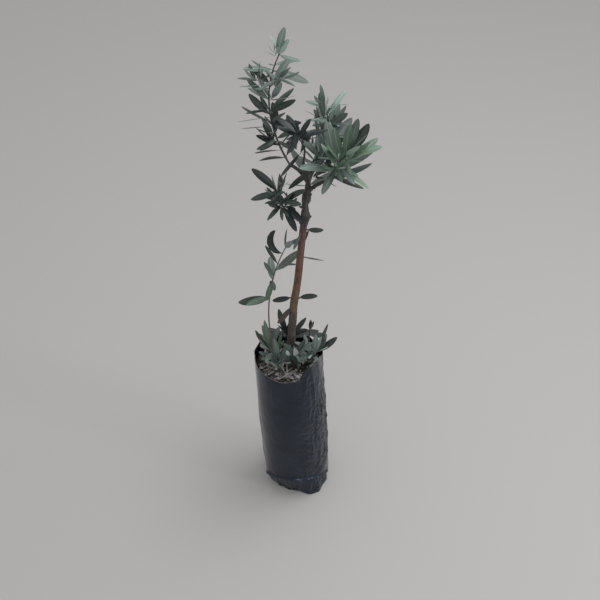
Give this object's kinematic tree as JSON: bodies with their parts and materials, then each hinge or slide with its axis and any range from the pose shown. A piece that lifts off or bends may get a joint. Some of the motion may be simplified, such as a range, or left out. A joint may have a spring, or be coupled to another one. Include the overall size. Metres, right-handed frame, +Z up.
{
  "type": "potted olive tree",
  "caption": "Young olive tree with a bare leaning trunk, a forked leafy crown and low shoots, standing in a filled black film nursery bag.",
  "frame": {"origin": "centre of the bag's flat underside, on the surface it stands on", "axes": "+Z up along the plant, +X to the right of the view in which the bag leans to the left, -Y towards the viewer"},
  "size_m": [0.2245, 0.2349, 0.9839],
  "materials": {
    "film": "satin polythene film",
    "potting_mix": "loose bark and loam",
    "bark": "matt young bark",
    "foliage": "matt leaf"
  },
  "bodies": {
    "root": {"grow_bag": "film", "potting_mix": "potting_mix", "trunk": "bark", "bough_left": "bark", "bough_right": "bark", "bough_right_top": "bark", "bough_centre": "bark", "bough_low_left": "bark", "bough_back": "bark", "foliage_left": "foliage", "foliage_right": "foliage", "foliage_right_top": "foliage", "foliage_centre": "foliage", "foliage_low_left": "foliage", "foliage_back": "foliage", "foliage_middle": "foliage", "sucker_left": "foliage", "sucker_right": "foliage", "foot_foliage_left": "foliage", "foot_foliage_right": "foliage", "foot_foliage_front": "foliage", "foot_foliage_middle": "foliage", "foot_foliage_back": "foliage", "trunk_shoot_1": "foliage", "trunk_shoot_2": "foliage", "trunk_shoot_3": "foliage", "trunk_shoot_4": "foliage", "trunk_shoot_5": "foliage", "trunk_shoot_6": "foliage", "trunk_shoot_7": "foliage"}
  },
  "joints": []
}
